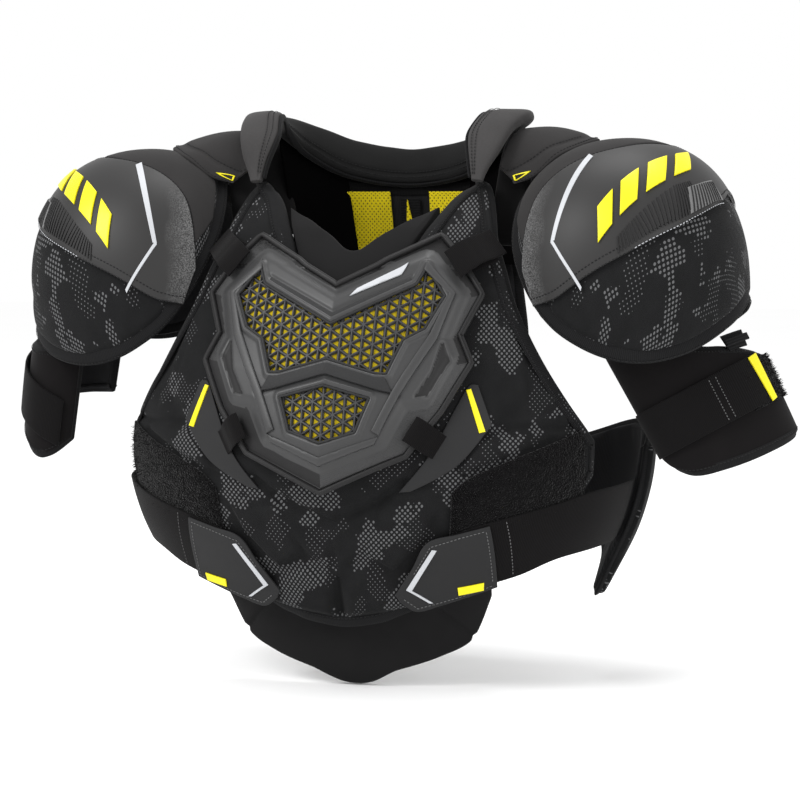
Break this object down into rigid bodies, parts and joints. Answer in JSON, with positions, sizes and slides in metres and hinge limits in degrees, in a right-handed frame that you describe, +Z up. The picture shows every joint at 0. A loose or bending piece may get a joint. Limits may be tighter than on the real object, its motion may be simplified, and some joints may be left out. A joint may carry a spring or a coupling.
{
  "type": "ice hockey shoulder pads",
  "caption": "Padded ice hockey shoulder pads: moulded front with floating sternum plate, back pad, collar, domed shoulder caps, biceps guards and belly straps.",
  "frame": {"origin": "middle of the wearer's neck at shoulder level, half way between the shoulder caps", "axes": "+X to the wearer's left, +Y to the wearer's back, +Z up"},
  "size_m": [0.6634, 0.3184, 0.474],
  "materials": {
    "cover_textile": "woven, matt",
    "lining_knit": "knitted, matt",
    "foam": "closed-cell foam",
    "binding_tape": "stitched tape",
    "bib_fabric": "fine smooth knit",
    "collar_fabric": "brushed knit",
    "soft_overlay": "matt coated",
    "yellow_print": "satin raised print",
    "yellow_mesh": "open mesh",
    "yellow_foam": "closed-cell foam",
    "webbing": "ribbed webbing",
    "elastic": "ribbed elastic",
    "loop_fabric": "fluffy loop pile",
    "moulded_plastic": "satin moulded",
    "insert_plastic": "moulded",
    "silver_badge": "satin silver"
  },
  "bodies": {
    "torso": {"front_liner": "lining_knit", "front_foam": "foam", "front_cover": "cover_textile", "front_binding": "binding_tape", "chest_bib": "bib_fabric", "loop_patch_left": "loop_fabric", "loop_patch_right": "loop_fabric", "flank_panels": "soft_overlay", "flank_bars": "yellow_print", "collar_pad": "collar_fabric", "shoulder_arch_left": "collar_fabric", "shoulder_arch_right": "collar_fabric", "cap_tethers": "elastic", "back_liner": "lining_knit", "back_foam": "foam", "back_cover": "cover_textile", "back_binding": "binding_tape", "spine_plate": "moulded_plastic", "back_vents": "yellow_mesh", "back_web": "webbing", "wing_left": "cover_textile", "wing_right": "cover_textile", "plate_straps_upper": "elastic", "plate_straps_lower": "elastic"},
    "sternum": {"sternum_shell": "moulded_plastic", "sternum_rim": "moulded_plastic", "sternum_lattice": "moulded_plastic", "sternum_pad": "yellow_foam", "sternum_badge": "silver_badge"},
    "extension": {"extension_pad": "bib_fabric", "extension_hook": "loop_fabric"},
    "cap_left": {"cap_foam_left": "foam", "cap_insert_left": "insert_plastic", "cap_cover_left": "cover_textile", "cap_overlay_left": "soft_overlay", "cap_binding_left": "binding_tape", "cap_trim_left": "yellow_print"},
    "guard_left": {"guard_pad_left": "bib_fabric", "guard_loop_left": "loop_fabric", "guard_webbing_left": "webbing"},
    "guard_strap_left": {"guard_band_left": "elastic", "guard_tag_left": "yellow_print"},
    "belly_strap_left": {"side_band_left": "elastic", "side_tab_left": "soft_overlay"},
    "cap_right": {"cap_foam_right": "foam", "cap_insert_right": "insert_plastic", "cap_cover_right": "cover_textile", "cap_overlay_right": "soft_overlay", "cap_binding_right": "binding_tape", "cap_trim_right": "yellow_print"},
    "guard_right": {"guard_pad_right": "bib_fabric", "guard_loop_right": "loop_fabric", "guard_webbing_right": "webbing"},
    "guard_strap_right": {"guard_band_right": "elastic", "guard_tag_right": "yellow_print"},
    "belly_strap_right": {"side_band_right": "elastic", "side_tab_right": "soft_overlay"}
  },
  "joints": [
    {"name": "sternum_float", "type": "slide", "parent": "torso", "child": "sternum", "axis": [0, -1, 0], "range_m": [0, 0.008]},
    {"name": "extension_slide", "type": "slide", "parent": "torso", "child": "extension", "axis": [0, 0.365, -0.931], "range_m": [0, 0.015]},
    {"name": "cap_lift_left", "type": "hinge", "parent": "torso", "child": "cap_left", "pos_m": [0.138, 0, 0.006], "axis": [0, -1, 0], "range_deg": [0, 30]},
    {"name": "guard_swing_left", "type": "hinge", "parent": "cap_left", "child": "guard_left", "pos_m": [0.308, -0.026, -0.128], "axis": [0, -1, 0], "range_deg": [0, 25]},
    {"name": "guard_strap_open_left", "type": "hinge", "parent": "guard_left", "child": "guard_strap_left", "pos_m": [0.2288, -0.067, -0.2091], "axis": [0.4695, 0, -0.8829], "range_deg": [0, 60]},
    {"name": "belly_strap_open_left", "type": "hinge", "parent": "torso", "child": "belly_strap_left", "pos_m": [0.2085, -0.0165, -0.275], "axis": [0, 0, 1], "range_deg": [0, 70]},
    {"name": "cap_lift_right", "type": "hinge", "parent": "torso", "child": "cap_right", "pos_m": [-0.138, 0, 0.006], "axis": [0, 1, 0], "range_deg": [0, 30]},
    {"name": "guard_swing_right", "type": "hinge", "parent": "cap_right", "child": "guard_right", "pos_m": [-0.308, -0.026, -0.128], "axis": [0, 1, 0], "range_deg": [0, 25]},
    {"name": "guard_strap_open_right", "type": "hinge", "parent": "guard_right", "child": "guard_strap_right", "pos_m": [-0.2532, -0.093, -0.1939], "axis": [-0.1392, 0, -0.9903], "range_deg": [-60, 0]},
    {"name": "belly_strap_open_right", "type": "hinge", "parent": "torso", "child": "belly_strap_right", "pos_m": [-0.2085, -0.0165, -0.275], "axis": [0, 0, -1], "range_deg": [0, 70]}
  ]
}
